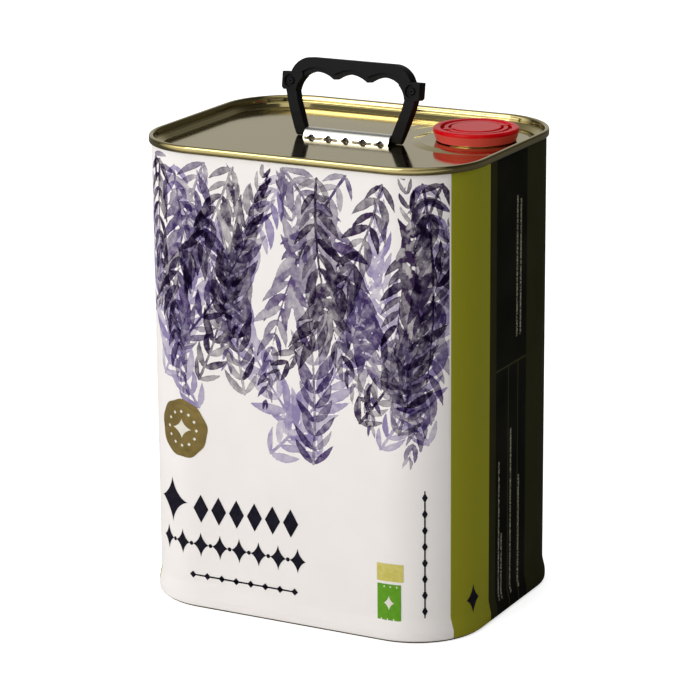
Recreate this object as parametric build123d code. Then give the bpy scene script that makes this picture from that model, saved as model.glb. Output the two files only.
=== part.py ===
from build123d import *
import math
import os

# Olive oil tin of about three litres with a folding handle and a pull-out pouring spout.
# Millimetres, +Z up, origin at the middle of the foot, long side along X, front towards -Y.

# Tin
TIN_HEIGHT = 200.0
BODY_LENGTH = 149.0
BODY_DEPTH = 116.0
CORNER_RADIUS = 30.0
SHEET = 0.3
OVERRUN = 5.0

# Double seam round the lid
LAYER_GAP = 0.06
SEAM_HEIGHT = 3.2
SEAM_TOP_ROOM = 0.55
HOOK_END_GAP = 0.35
COVER_HOOK_LENGTH = 1.8
TOP_COMPOUND_WIDTH = 0.4
TOP_COMPOUND_HEIGHT = 0.4
COMPOUND_CLEARANCE = 0.05

# Sunk panel of the lid
PANEL_DEPTH = 4.5
STEP_DEPTH = 2.9
STEP_WIDTH = 1.4
CHUCK_TAPER = 0.6
PANEL_SLOPE_WIDTH = 2.6
WALL_BEND_RADIUS = 0.6

# Foot of the wall and the bottom
FLARE_HEIGHT = 10.0
FLARE_WIDTH = 1.2
FLARE_TOP_RADIUS = 8.0
FLARE_FOOT_HEIGHT = 4.5
FLARE_FOOT_RADIUS = 4.0
FOOT_RADIUS = 1.7
FOOT_WIDTH = 3.4
FOOT_HOOK_HEIGHT = 2.3
FOOT_HOOK_RADIUS = 0.7
RIM_INSET = 0.3
FOOT_HOOK_GAP = 0.4
BOTTOM_RISE = 4.4
BOTTOM_BEND_RADIUS = 0.8
BOTTOM_COMPOUND_HEIGHT = 1.6

# Welded side seam at the back
WELD_WIDTH = 1.2
WELD_PROUD = 0.15

# Stiffening step pressed into the bottom
BOTTOM_STEP_INSET = 16.0
BOTTOM_STEP_RISE = 0.8
BOTTOM_STEP_SLOPE = 2.0

# Spout closure: place, raised seat and drawn neck
CLOSURE_FROM_SIDE = 25.4
CLOSURE_FROM_BACK = 38.5
SEAT_RISE = 0.8
SEAT_TOP_RADIUS = 23.0
SEAT_FLANK_WIDTH = 4.0
NECK_BORE_RADIUS = 14.6
NECK_HEIGHT = 3.3
CURL_RADIUS = 0.6

# Closure base
CLOSURE_RADIUS = 18.0
CLOSURE_HEIGHT = 5.7
CLOSURE_RIM_HEIGHT = 1.6
CLOSURE_EDGE_RADIUS = 0.9
SKIRT_FOOT_RADIUS = 16.8
SKIRT_WALL = 0.8
SKIRT_GAP = 0.45
CAP_SEAT_DEPTH = 1.9
CAP_SEAT_RADIUS = 14.7
LIP_RADIUS = 12.9
LIP_HEIGHT = 1.2
SLEEVE_RADIUS = 14.5
SLEEVE_WALL = 0.9
SLEEVE_LENGTH = 24.0
NECK_TOP_CLEARANCE = 0.2

# Pouring spout
SPOUT_RADIUS = 10.9
SPOUT_WALL = 1.0
SPOUT_COLLAR_CLEARANCE = 0.3
SPOUT_COLLAR_HEIGHT = 2.0
SPOUT_FOOT_RISE = 0.5
SPOUT_MOUTH_DEPTH = 2.6
SPOUT_BEAD = 0.3

# Cap
CAP_CLEARANCE = 0.4
CAP_LIFT = 0.3
CAP_SKIRT_RADIUS = 12.5
CAP_SKIRT_WALL = 1.0
CAP_SKIRT_LENGTH = 4.5
GROOVE_DEPTH = 1.3
HUB_RADIUS = 10.4
HUB_EDGE_RADIUS = 0.3
LINER_THICKNESS = 0.7
LINER_RADIUS = 10.6
LINER_CLEARANCE = 0.12

# Pull bails in the groove of the cap
BAIL_TURN = 45.0
BAIL_MID_RADIUS = 12.4
BAIL_WIDTH = 1.6
BAIL_THICKNESS = 0.8
BAIL_LIFT = 0.25
BRIDGE_WIDTH = 1.6
BAIL_END_CLEARANCE = 0.3
BRIDGE_DROP = 0.1

# Handle bracket on the lid
STRAP_LENGTH = 39.8
BARREL_RADIUS = 3.9
STRAP_SHEET = 0.6
FLANGE_WIDTH = 0.4
WELD_COUNT = 5
WELD_PITCH = 8.1
DIMPLE_RADIUS = 1.35
DIMPLE_RISE = 0.4
DIMPLE_SET_OUT = 0.1

# Handle: bar, legs and grip, measured in the handle's own plane from its hinge axis
BAR_RADIUS = 1.5
BAR_CLEARANCE = 0.1
HANDLE_LEAN = 9.0
FOOT_CLEARANCE = 0.4
LEG_FOOT_WIDTH = 4.1
LEG_FOOT_HALF_DEPTH = 1.9
LEG_HALF_DEPTH = 2.4
LEG_FOOT_HEIGHT = 1.8
LEG_FULL_HEIGHT = 8.0
LEG_KNEE_HEIGHT = 12.5
LEG_KNEE_INNER = 24.3
LEG_KNEE_OUTER = 28.9
LEG_TOP_INNER = 25.4
LEG_TOP_OUTER = 30.1
LUG_OUTER = 32.1
LUG_INNER = 25.4
LUG_BOTTOM = 17.2
LUG_TOP = 24.7
LUG_HALF_DEPTH = 2.8
LUG_CHAMFER = 0.9
LUG_REACH = 9.6
STUD_X = 28.3
STUD_HEIGHT = 20.9
STUD_RECESS_RADIUS = 2.8
STUD_RECESS_DEPTH = 1.0
PIN_RADIUS = 1.65
PIN_CLEARANCE = 0.05
PIN_DIMPLE_RADIUS = 0.4
PIN_DIMPLE_DEPTH = 1.0
PIN_DOME = 0.4
PIN_SINK = 0.35
TONGUE_WIDTH = 3.8
TONGUE_TOP = 23.4
TONGUE_HALF_DEPTH = 1.2
TONGUE_CLEARANCE = 0.1
GRIP_TOP = 31.4
GRIP_TOP_HALF = 19.5
GRIP_SHOULDER_X = 25.2
GRIP_SHOULDER_Z = 29.0
GRIP_SIDE = 28.1
GRIP_HALF_DEPTH = 1.9
PAD_PROUD = 1.1
PAD_LIP = 1.9
PAD_EDGE_RADIUS = 0.4
SCALLOP_PITCH = 15.6
SCALLOP_PEAK = 25.5
SCALLOP_TOOTH = 22.5
TOOTH_RADIUS = 1.3
SIDE_ARC_X = 22.8
SIDE_ARC_Z = 22.6

# Levels and places that follow from the sizes above
CLOSURE_X = BODY_LENGTH / 2 - CLOSURE_FROM_SIDE
CLOSURE_Y = BODY_DEPTH / 2 - CLOSURE_FROM_BACK
PANEL_Z = TIN_HEIGHT - PANEL_DEPTH
SEAT_Z = PANEL_Z + SEAT_RISE
CLOSURE_TOP = SEAT_Z + CLOSURE_HEIGHT
CAP_SEAT_Z = CLOSURE_TOP - CAP_SEAT_DEPTH
LIP_Z = CAP_SEAT_Z - LIP_HEIGHT
SLEEVE_FOOT_Z = CAP_SEAT_Z - SLEEVE_LENGTH
SLEEVE_BORE = SLEEVE_RADIUS - SLEEVE_WALL
CAP_UNDERSIDE = CAP_SEAT_Z + CAP_LIFT
GROOVE_Z = CLOSURE_TOP - GROOVE_DEPTH
SPOUT_FOOT_Z = SLEEVE_FOOT_Z + SPOUT_FOOT_RISE
SPOUT_MOUTH_Z = CLOSURE_TOP - SPOUT_MOUTH_DEPTH
HINGE_Z = PANEL_Z + BAR_RADIUS + BAR_CLEARANCE
STRAP_END = STRAP_LENGTH / 2
LEG_FOOT_INNER = STRAP_END + FOOT_CLEARANCE
LEG_FOOT_OUTER = LEG_FOOT_INNER + LEG_FOOT_WIDTH
BAIL_AXIS_OFFSET = BRIDGE_WIDTH / 2 + BAIL_END_CLEARANCE + BAIL_THICKNESS / 2
BAIL_Z = GROOVE_Z + BAIL_LIFT + BAIL_THICKNESS / 2
CLOSURE_AXIS = Axis((CLOSURE_X, CLOSURE_Y, 0), (0, 0, 1))


def outline(grow):
    """Outline of the wall's outer face on the ground, grown by this much all round."""
    length = BODY_LENGTH + 2 * grow
    depth = BODY_DEPTH + 2 * grow
    return RectangleRounded(length, depth, CORNER_RADIUS + grow)


def around(section):
    """Carry a section, drawn on the right side's middle, once round the rounded rectangle."""
    straight_x = BODY_LENGTH / 2 - CORNER_RADIUS
    straight_y = BODY_DEPTH / 2 - CORNER_RADIUS
    side = extrude(section, amount=straight_y, both=True)
    corner_axis = Axis((straight_x, 0, 0), (0, 0, 1))
    corner = Pos(0, straight_y, 0) * revolve(section, corner_axis, revolution_arc=90)
    shifted = Pos((BODY_DEPTH - BODY_LENGTH) / 2, 0, 0) * section
    back = Rot(0, 0, 90) * extrude(shifted, amount=straight_x, both=True)
    across = mirror(corner, Plane.YZ)
    others = [mirror(side, Plane.YZ), back, mirror(back, Plane.XZ), corner, across]
    return side.fuse(*others, mirror(corner, Plane.XZ), mirror(across, Plane.XZ))


def sheet_section(points, radii):
    """Section of bent sheet: a centreline of (outward, height) points, thickened evenly."""
    placed = [(BODY_LENGTH / 2 + outward, height) for outward, height in points]
    line = FilletPolyline(*placed, radius=radii)
    return Plane.XZ * trace(line, SHEET)


def block_section(low, high):
    """Rectangular section between two (outward, height) corners."""
    width = high[0] - low[0]
    height = high[1] - low[1]
    middle = (BODY_LENGTH / 2 + low[0] + width / 2, low[1] + height / 2)
    return Plane.XZ * (Pos(*middle) * Rectangle(width, height))


def layer(count):
    """Outward place of the middle of a seam layer, counted from the wall's own sheet."""
    return count * (SHEET + LAYER_GAP) - SHEET / 2


def body_shell():
    """Printed wall: hooked into the lid's seam at the top, flared and turned under at the foot."""
    wall = layer(0)
    hook = layer(2)
    top = TIN_HEIGHT - SHEET - SEAM_TOP_ROOM - SHEET / 2
    hook_end = TIN_HEIGHT - SEAM_HEIGHT + SHEET + HOOK_END_GAP
    flare = wall + FLARE_WIDTH
    foot = SHEET + SHEET / 2
    inner = flare - FOOT_WIDTH
    points = [
        (hook, hook_end),
        (hook, top),
        (wall, top),
        (wall, FLARE_HEIGHT),
        (flare, FLARE_FOOT_HEIGHT),
        (flare, foot),
        (inner, foot),
        (inner, foot + FOOT_HOOK_HEIGHT),
    ]
    bend = (hook - wall) / 2 - LAYER_GAP / 4
    radii = [bend, bend, FLARE_TOP_RADIUS, FLARE_FOOT_RADIUS, FOOT_RADIUS, FOOT_HOOK_RADIUS]
    shell = around(sheet_section(points, radii))
    seam_height = TIN_HEIGHT - SEAM_HEIGHT - FLARE_HEIGHT - 2 * SHEET
    weld = Box(WELD_WIDTH, WELD_PROUD + SHEET / 2, seam_height)
    weld_y = BODY_DEPTH / 2 + (WELD_PROUD - SHEET / 2) / 2
    return shell + Pos(0, weld_y, FLARE_HEIGHT + SHEET + seam_height / 2) * weld


def seam_cover():
    """Rim of the lid: hook, outer skin, rounded top, sunk wall with its step, slope to the panel."""
    skin = layer(3)
    hook = layer(1)
    chuck = layer(-1)
    low = TIN_HEIGHT - SEAM_HEIGHT + SHEET / 2
    top = TIN_HEIGHT - SHEET / 2
    step = TIN_HEIGHT - STEP_DEPTH - SHEET / 2
    panel = PANEL_Z - SHEET / 2
    ledge = chuck - STEP_WIDTH
    slope = ledge - PANEL_SLOPE_WIDTH
    points = [
        (hook, low + COVER_HOOK_LENGTH),
        (hook, low),
        (skin, low),
        (skin, top),
        (chuck, top),
        (chuck - CHUCK_TAPER, step),
        (ledge, step),
        (slope, panel),
        (slope - STEP_WIDTH, panel),
    ]
    hook_bend = (skin - hook) / 2 - LAYER_GAP / 4
    top_bend = (skin - chuck) / 2 - LAYER_GAP / 4
    radii = [hook_bend, hook_bend, top_bend, top_bend] + 3 * [WALL_BEND_RADIUS]
    return around(sheet_section(points, radii))


def panel_edge():
    """Outward place where the lid's flat panel meets its rim."""
    return layer(-1) - STEP_WIDTH - PANEL_SLOPE_WIDTH - STEP_WIDTH


def neck():
    """Drawn neck of the spout hole with its outward curl, on the raised seat."""
    outer = NECK_BORE_RADIUS + SHEET
    curl = NECK_BORE_RADIUS + SHEET / 2 + CURL_RADIUS / 2
    curl_z = SEAT_Z + NECK_HEIGHT - CURL_RADIUS
    wall = Pos(CLOSURE_X, CLOSURE_Y, SEAT_Z - SHEET) * (
        extrude(Circle(outer) - Circle(NECK_BORE_RADIUS), NECK_HEIGHT - CURL_RADIUS + SHEET))
    ring = Pos(CLOSURE_X, CLOSURE_Y, curl_z) * Torus(curl, CURL_RADIUS)
    bore = Pos(CLOSURE_X, CLOSURE_Y, SEAT_Z - OVERRUN) * (
        extrude(Circle(NECK_BORE_RADIUS), NECK_HEIGHT + 2 * OVERRUN))
    return wall + ring, bore


def top_end():
    """Lid in one pressing: seam cover, sunk panel, raised seat and drawn neck."""
    inside = outline(panel_edge())
    plate = Pos(0, 0, PANEL_Z - SHEET) * extrude(inside, SHEET)
    seat_foot = SEAT_TOP_RADIUS + SEAT_FLANK_WIDTH
    room = Pos(0, 0, PANEL_Z - OVERRUN) * extrude(outline(panel_edge() + STEP_WIDTH / 2), 2 * OVERRUN)
    middle = Pos(CLOSURE_X, CLOSURE_Y, PANEL_Z + SEAT_RISE / 2)
    raised = (middle * Cone(seat_foot, SEAT_TOP_RADIUS, SEAT_RISE)) & room
    hollow = Pos(CLOSURE_X, CLOSURE_Y, SEAT_Z - SHEET - SEAT_RISE / 2) * (
        Cone(seat_foot - SHEET, SEAT_TOP_RADIUS - SHEET, SEAT_RISE))
    room_below = Pos(0, 0, PANEL_Z - OVERRUN) * extrude(outline(panel_edge()), 2 * OVERRUN)
    tube, bore = neck()
    lid = seam_cover() + plate + raised - (hollow & room_below) + tube
    return lid - bore


def bottom_end():
    """Bottom: flat foot ring under the wall's turned edge, wall, panel and a pressed step."""
    hook_inner = layer(0) + FLARE_WIDTH - FOOT_WIDTH - SHEET / 2
    wall = hook_inner - FOOT_HOOK_GAP - SHEET / 2
    foot = SHEET / 2
    panel = BOTTOM_RISE - SHEET / 2
    points = [
        (layer(0) - RIM_INSET, foot),
        (wall, foot),
        (wall, panel),
        (wall - FOOT_WIDTH, panel),
    ]
    ring = around(sheet_section(points, [BOTTOM_BEND_RADIUS, BOTTOM_BEND_RADIUS]))
    plate = Pos(0, 0, BOTTOM_RISE - SHEET) * extrude(outline(wall - FOOT_WIDTH), SHEET)
    step = outline(-BOTTOM_STEP_INSET)
    taper = math.degrees(math.atan2(BOTTOM_STEP_SLOPE, BOTTOM_STEP_RISE))
    raised = Pos(0, 0, BOTTOM_RISE) * extrude(step, BOTTOM_STEP_RISE, taper=taper)
    below = outline(-BOTTOM_STEP_INSET - SHEET)
    hollow = Pos(0, 0, BOTTOM_RISE - SHEET) * extrude(below, BOTTOM_STEP_RISE, taper=taper)
    return ring + plate + raised - hollow


def top_seam_compound():
    """Sealing rubber between the wall's hook and the top of the lid's seam."""
    middle = (layer(0) + layer(2)) / 2
    low = TIN_HEIGHT - SHEET - SEAM_TOP_ROOM + COMPOUND_CLEARANCE
    return around(block_section(
        (middle - TOP_COMPOUND_WIDTH / 2, low),
        (middle + TOP_COMPOUND_WIDTH / 2, low + TOP_COMPOUND_HEIGHT)))


def bottom_seam_compound():
    """Sealing rubber between the wall's turned edge and the bottom's wall."""
    outer = layer(0) + FLARE_WIDTH - FOOT_WIDTH - SHEET / 2 - COMPOUND_CLEARANCE
    inner = outer - FOOT_HOOK_GAP + 2 * COMPOUND_CLEARANCE
    low = SHEET + BOTTOM_BEND_RADIUS
    return around(block_section((inner, low), (outer, low + BOTTOM_COMPOUND_HEIGHT)))


def handle_strap():
    """Bracket over the handle's bar: half-round barrel, two flanges and weld dimples along both."""
    inner = BARREL_RADIUS - STRAP_SHEET
    base = Box(STRAP_LENGTH, 2 * (BARREL_RADIUS + FLANGE_WIDTH), STRAP_SHEET)
    across = Rot(0, 90, 0)
    lift = Pos(0, 0, STRAP_SHEET / 2)
    barrel = across * Cylinder(BARREL_RADIUS, STRAP_LENGTH)
    tunnel = across * Cylinder(inner, STRAP_LENGTH + OVERRUN)
    below = Pos(0, 0, -OVERRUN) * Box(STRAP_LENGTH + OVERRUN, 2 * OVERRUN, 2 * OVERRUN)
    bosses = []
    dimples = []
    for index in range(WELD_COUNT):
        x = (index - (WELD_COUNT - 1) / 2) * WELD_PITCH
        for side in (-1, 1):
            place = Pos(x, side * (BARREL_RADIUS + DIMPLE_SET_OUT), DIMPLE_RISE)
            bosses.append(place * Sphere(DIMPLE_RADIUS + STRAP_SHEET))
            dimples.append(place * Sphere(DIMPLE_RADIUS))
    strap = lift * base + barrel - tunnel - below
    shaped = Part() + bosses
    shaped = shaped & (across * Cylinder(BARREL_RADIUS, STRAP_LENGTH))
    strap = strap + (shaped - below)
    for dimple in dimples:
        strap = strap - (dimple - Pos(0, 0, -OVERRUN + STRAP_SHEET / 2) * Box(
            STRAP_LENGTH, BODY_DEPTH, 2 * OVERRUN))
    return Pos(0, 0, PANEL_Z) * strap


def handle_place(piece):
    """Set a piece of the handle, drawn from its hinge axis, on the lid, leaning back."""
    return Pos(0, 0, HINGE_Z) * Rot(-HANDLE_LEAN, 0, 0) * piece


def slab(face, half_depth):
    """Solid of a face drawn in the handle's plane, as thick both ways."""
    return extrude(Plane.XZ * face, half_depth, both=True)


def both_sides(piece):
    """A piece and its mirror image on the other side of the handle."""
    return piece + mirror(piece, Plane.YZ)


def leg_side_face():
    """Side view of a leg: round about the hinge, then widening to its full depth."""
    points = [
        (-LEG_FOOT_HALF_DEPTH, LEG_FOOT_HEIGHT),
        (-LEG_HALF_DEPTH, LEG_FULL_HEIGHT),
        (-LEG_HALF_DEPTH, LUG_TOP),
        (LEG_HALF_DEPTH, LUG_TOP),
        (LEG_HALF_DEPTH, LEG_FULL_HEIGHT),
        (LEG_FOOT_HALF_DEPTH, LEG_FOOT_HEIGHT),
        (BAR_RADIUS, 0),
        (-BAR_RADIUS, 0),
    ]
    return make_face(Polyline(*points, close=True)) + Circle(BAR_RADIUS)


def handle_bail():
    """Two legs and the bar that joins them through the bracket, moulded in one."""
    leg = Polyline(
        (LEG_FOOT_INNER, -BAR_RADIUS),
        (LEG_FOOT_OUTER, -BAR_RADIUS),
        (LEG_KNEE_OUTER, LEG_KNEE_HEIGHT),
        (LEG_TOP_OUTER, LUG_BOTTOM),
        (LEG_TOP_INNER, LUG_BOTTOM),
        (LEG_KNEE_INNER, LEG_KNEE_HEIGHT),
        (LEG_FOOT_INNER, LEG_FOOT_HEIGHT),
        close=True)
    side = extrude(Plane.YZ * leg_side_face(), LUG_OUTER)
    shaped = slab(make_face(leg), LEG_HALF_DEPTH) & side
    tongue = Pos(STUD_X, 0, (LUG_BOTTOM - TONGUE_CLEARANCE + TONGUE_TOP) / 2) * Box(
        TONGUE_WIDTH, 2 * TONGUE_HALF_DEPTH, TONGUE_TOP - LUG_BOTTOM + TONGUE_CLEARANCE)
    hole = Pos(STUD_X, 0, STUD_HEIGHT) * Rot(90, 0, 0) * Cylinder(PIN_RADIUS + PIN_CLEARANCE, 2 * OVERRUN)
    legs = both_sides(shaped + tongue - hole)
    bar = Rot(0, 90, 0) * Cylinder(BAR_RADIUS, 2 * LEG_FOOT_INNER + LEG_FOOT_WIDTH)
    return handle_place(legs + bar)


def grip_face():
    """Outline of the grip: flat top, round shoulders, lugs, and three finger scallops below."""
    tooth = SCALLOP_PITCH / 2
    right = [
        Line((0, GRIP_TOP), (GRIP_TOP_HALF, GRIP_TOP)),
        ThreePointArc((GRIP_TOP_HALF, GRIP_TOP), (GRIP_SHOULDER_X, GRIP_SHOULDER_Z), (GRIP_SIDE, LUG_TOP)),
        Line((GRIP_SIDE, LUG_TOP), (LUG_OUTER, LUG_TOP)),
        Line((LUG_OUTER, LUG_TOP), (LUG_OUTER, LUG_BOTTOM + LUG_CHAMFER)),
        Line((LUG_OUTER, LUG_BOTTOM + LUG_CHAMFER), (LUG_OUTER - LUG_CHAMFER, LUG_BOTTOM)),
        Line((LUG_OUTER - LUG_CHAMFER, LUG_BOTTOM), (LUG_INNER, LUG_BOTTOM)),
        ThreePointArc((LUG_INNER, LUG_BOTTOM), (SIDE_ARC_X, SIDE_ARC_Z), (SCALLOP_PITCH, SCALLOP_PEAK)),
        ThreePointArc(
            (SCALLOP_PITCH, SCALLOP_PEAK),
            ((SCALLOP_PITCH + tooth) / 2, SCALLOP_PEAK - (SCALLOP_PEAK - SCALLOP_TOOTH) / 4),
            (tooth, SCALLOP_TOOTH)),
        ThreePointArc(
            (tooth, SCALLOP_TOOTH),
            (tooth / 2, SCALLOP_PEAK - (SCALLOP_PEAK - SCALLOP_TOOTH) / 4),
            (0, SCALLOP_PEAK)),
    ]
    left = [mirror(edge, Plane.YZ) for edge in right]
    face = make_face([*right, *left])
    teeth = [corner for corner in face.vertices() if abs(corner.Y - SCALLOP_TOOTH) < TONGUE_CLEARANCE]
    return fillet(teeth, TOOTH_RADIUS)


def pad_face(face):
    """Raised part of the grip's sides: all of the outline but a lip along the scallops, and not the lugs."""
    width = 2 * LUG_INNER
    height = SCALLOP_PEAK - LUG_BOTTOM + OVERRUN
    below = Pos(0, SCALLOP_PEAK - height / 2 + TONGUE_CLEARANCE) * Rectangle(width, height)
    space = below - face
    under = max(space.faces(), key=lambda part: part.area)
    band = offset(under, amount=PAD_LIP)
    lug_room = Pos(0, LUG_TOP - OVERRUN) * Rectangle(2 * LUG_OUTER + OVERRUN, 2 * OVERRUN)
    return face - band - (lug_room - Pos(0, LUG_TOP) * Rectangle(2 * (LUG_OUTER - LUG_REACH), 2 * OVERRUN))


def handle_grip():
    """Grip: scalloped core, raised pads front and back, and a lug with a pin hole at each end."""
    face = grip_face()
    core = slab(face, GRIP_HALF_DEPTH)
    lug_height = LUG_TOP - LUG_BOTTOM
    lug_middle = (LUG_OUTER - LUG_REACH / 2, LUG_BOTTOM + lug_height / 2)
    lug_area = Pos(*lug_middle) * Rectangle(LUG_REACH, lug_height)
    pads = slab(pad_face(face), GRIP_HALF_DEPTH + PAD_PROUD)
    top_edges = pads.edges().filter_by(Axis.X).group_by(Axis.Z)[-1]
    pads = fillet(top_edges, PAD_EDGE_RADIUS)
    lugs = both_sides(slab(face & lug_area, LUG_HALF_DEPTH))
    pocket_top = TONGUE_TOP + TONGUE_CLEARANCE
    pocket_height = pocket_top - LUG_BOTTOM + OVERRUN
    pocket = Pos(STUD_X, 0, pocket_top - pocket_height / 2) * Box(
        TONGUE_WIDTH + 2 * TONGUE_CLEARANCE, 2 * (TONGUE_HALF_DEPTH + TONGUE_CLEARANCE), pocket_height)
    across = Pos(STUD_X, 0, STUD_HEIGHT) * Rot(90, 0, 0)
    hole = across * Cylinder(PIN_RADIUS + PIN_CLEARANCE, 2 * OVERRUN)
    recess_floor = LUG_HALF_DEPTH - STUD_RECESS_DEPTH
    recess = across * (Cylinder(STUD_RECESS_RADIUS, 2 * OVERRUN) - Cylinder(STUD_RECESS_RADIUS, 2 * recess_floor))
    grip = core + pads + lugs - both_sides(pocket) - both_sides(hole) - both_sides(recess)
    return handle_place(grip)


def grip_pin(side):
    """Snap pin through a lug and the leg's tongue, with a small dimple in each end."""
    half = LUG_HALF_DEPTH - PIN_SINK
    pin = Cylinder(PIN_RADIUS, 2 * half)
    pin = chamfer(pin.edges(), PIN_DOME)
    ends = [Pos(0, 0, end * half) * Cylinder(PIN_DIMPLE_RADIUS, 2 * PIN_DIMPLE_DEPTH) for end in (-1, 1)]
    for dimple in ends:
        pin = pin - dimple
    return handle_place(Pos(side * STUD_X, 0, STUD_HEIGHT) * Rot(90, 0, 0) * pin)


def turned(points):
    """Solid of revolution about the closure's axis from (radius, height) points."""
    profile = make_face(Polyline(*points, close=True))
    place = Plane(origin=(CLOSURE_X, CLOSURE_Y, 0), x_dir=(1, 0, 0), z_dir=(0, -1, 0))
    return revolve(place * profile, CLOSURE_AXIS)


def at_height(solid, radius, height):
    """Circular edges of a turned solid with this radius at this height."""
    return [
        edge for edge in solid.edges().filter_by(GeomType.CIRCLE)
        if abs(edge.radius - radius) < LAYER_GAP and abs(edge.arc_center.Z - height) < LAYER_GAP]


def spout_base():
    """Outer ring of the closure: skirt over the neck's curl, sleeve in its bore, seat for the cap."""
    rim_foot = CLOSURE_TOP - CLOSURE_RIM_HEIGHT
    skirt_foot = SEAT_Z + SKIRT_GAP
    under = SEAT_Z + NECK_HEIGHT + NECK_TOP_CLEARANCE
    points = [
        (CAP_SEAT_RADIUS, CLOSURE_TOP),
        (CLOSURE_RADIUS, CLOSURE_TOP),
        (CLOSURE_RADIUS, rim_foot),
        (SKIRT_FOOT_RADIUS, skirt_foot),
        (SKIRT_FOOT_RADIUS - SKIRT_WALL, skirt_foot),
        (SKIRT_FOOT_RADIUS - SKIRT_WALL, under),
        (SLEEVE_RADIUS, under),
        (SLEEVE_RADIUS, SLEEVE_FOOT_Z),
        (SLEEVE_BORE, SLEEVE_FOOT_Z),
        (SLEEVE_BORE, LIP_Z),
        (LIP_RADIUS, LIP_Z),
        (LIP_RADIUS, CAP_SEAT_Z),
        (CAP_SEAT_RADIUS, CAP_SEAT_Z),
    ]
    base = turned(points)
    edges = at_height(base, CLOSURE_RADIUS, CLOSURE_TOP) + at_height(base, CAP_SEAT_RADIUS, CLOSURE_TOP)
    return fillet(edges, CLOSURE_EDGE_RADIUS)


def pouring_spout():
    """Tube that slides up in the sleeve: collar at its foot, snap bead at its mouth."""
    bore = SPOUT_RADIUS - SPOUT_WALL
    collar = SLEEVE_BORE - SPOUT_COLLAR_CLEARANCE
    collar_top = SPOUT_FOOT_Z + SPOUT_COLLAR_HEIGHT
    bead = SPOUT_RADIUS + SPOUT_BEAD
    points = [
        (bore, SPOUT_FOOT_Z),
        (collar, SPOUT_FOOT_Z),
        (collar, collar_top),
        (SPOUT_RADIUS, collar_top),
        (SPOUT_RADIUS, SPOUT_MOUTH_Z - 3 * SPOUT_BEAD),
        (bead, SPOUT_MOUTH_Z - 2 * SPOUT_BEAD),
        (SPOUT_RADIUS, SPOUT_MOUTH_Z),
        (bore, SPOUT_MOUTH_Z),
    ]
    return turned(points)


def bail_place():
    """Frame of the bails: closure axis, turned so that X runs through both bridges."""
    return Pos(CLOSURE_X, CLOSURE_Y, 0) * Rot(0, 0, BAIL_TURN)


def spout_cap():
    """Cap: flat hub, sunk groove crossed by two bridges, and a skirt round the spout's mouth."""
    edge = CAP_SEAT_RADIUS - CAP_CLEARANCE
    skirt_foot = CAP_UNDERSIDE - CAP_SKIRT_LENGTH
    liner_room = CAP_SKIRT_RADIUS - CAP_SKIRT_WALL
    points = [
        (0, CLOSURE_TOP),
        (HUB_RADIUS, CLOSURE_TOP),
        (HUB_RADIUS, GROOVE_Z),
        (edge, GROOVE_Z),
        (edge, CAP_UNDERSIDE),
        (CAP_SKIRT_RADIUS, CAP_UNDERSIDE),
        (CAP_SKIRT_RADIUS, skirt_foot),
        (liner_room, skirt_foot),
        (liner_room, CAP_UNDERSIDE),
        (0, CAP_UNDERSIDE),
    ]
    cap = turned(points)
    cap = fillet(at_height(cap, HUB_RADIUS, CLOSURE_TOP), HUB_EDGE_RADIUS)
    bridge_length = edge - HUB_RADIUS + HUB_EDGE_RADIUS
    bridge_height = GROOVE_DEPTH - BRIDGE_DROP
    bridge = Box(bridge_length, BRIDGE_WIDTH, bridge_height)
    ring = Pos(CLOSURE_X, CLOSURE_Y, GROOVE_Z) * extrude(Circle(edge), GROOVE_DEPTH)
    for side in (-1, 1):
        middle = side * (edge - bridge_length / 2)
        cap = cap + ((bail_place() * Pos(middle, 0, GROOVE_Z + bridge_height / 2) * bridge) & ring)
    return cap


def cap_liner():
    """Soft disc under the cap that closes the spout's mouth."""
    low = SPOUT_MOUTH_Z + LINER_CLEARANCE
    return Pos(CLOSURE_X, CLOSURE_Y, low) * extrude(Circle(LINER_RADIUS), CAP_UNDERSIDE - low)


def pull_bail(side):
    """Half ring in the groove, with rounded ends on the hinge line beside the bridges."""
    ring = Circle(BAIL_MID_RADIUS + BAIL_WIDTH / 2) - Circle(BAIL_MID_RADIUS - BAIL_WIDTH / 2)
    reach = BAIL_MID_RADIUS + BAIL_WIDTH
    half = Pos(0, BAIL_AXIS_OFFSET + reach / 2) * Rectangle(2 * reach, reach)
    bail = Pos(0, 0, -BAIL_THICKNESS / 2) * extrude(ring & half, BAIL_THICKNESS)
    end_radius = math.sqrt(BAIL_MID_RADIUS ** 2 - BAIL_AXIS_OFFSET ** 2)
    for end in (-1, 1):
        knuckle = Rot(0, 90, 0) * Cylinder(BAIL_THICKNESS / 2, BAIL_WIDTH)
        bail = bail + Pos(end * end_radius, BAIL_AXIS_OFFSET, 0) * knuckle
    turn = Rot(0, 0, 0 if side > 0 else 180)
    return bail_place() * Pos(0, 0, BAIL_Z) * turn * bail


def main():
    """Build every piece and write one file for each."""
    pieces = {
        "body_shell": body_shell(),
        "top_end": top_end(),
        "bottom_end": bottom_end(),
        "top_seam_compound": top_seam_compound(),
        "bottom_seam_compound": bottom_seam_compound(),
        "handle_strap": handle_strap(),
        "handle_bail": handle_bail(),
        "handle_grip": handle_grip(),
        "grip_pin_left": grip_pin(-1),
        "grip_pin_right": grip_pin(1),
        "spout_base": spout_base(),
        "pouring_spout": pouring_spout(),
        "spout_cap": spout_cap(),
        "cap_liner": cap_liner(),
        "pull_bail_rear": pull_bail(1),
        "pull_bail_front": pull_bail(-1),
    }
    os.makedirs("parts", exist_ok=True)
    for name, piece in pieces.items():
        export_step(piece, f"parts/{name}.step")


main()
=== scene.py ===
import math
import bmesh
import bpy
import numpy as np
from mathutils import Matrix


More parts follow.
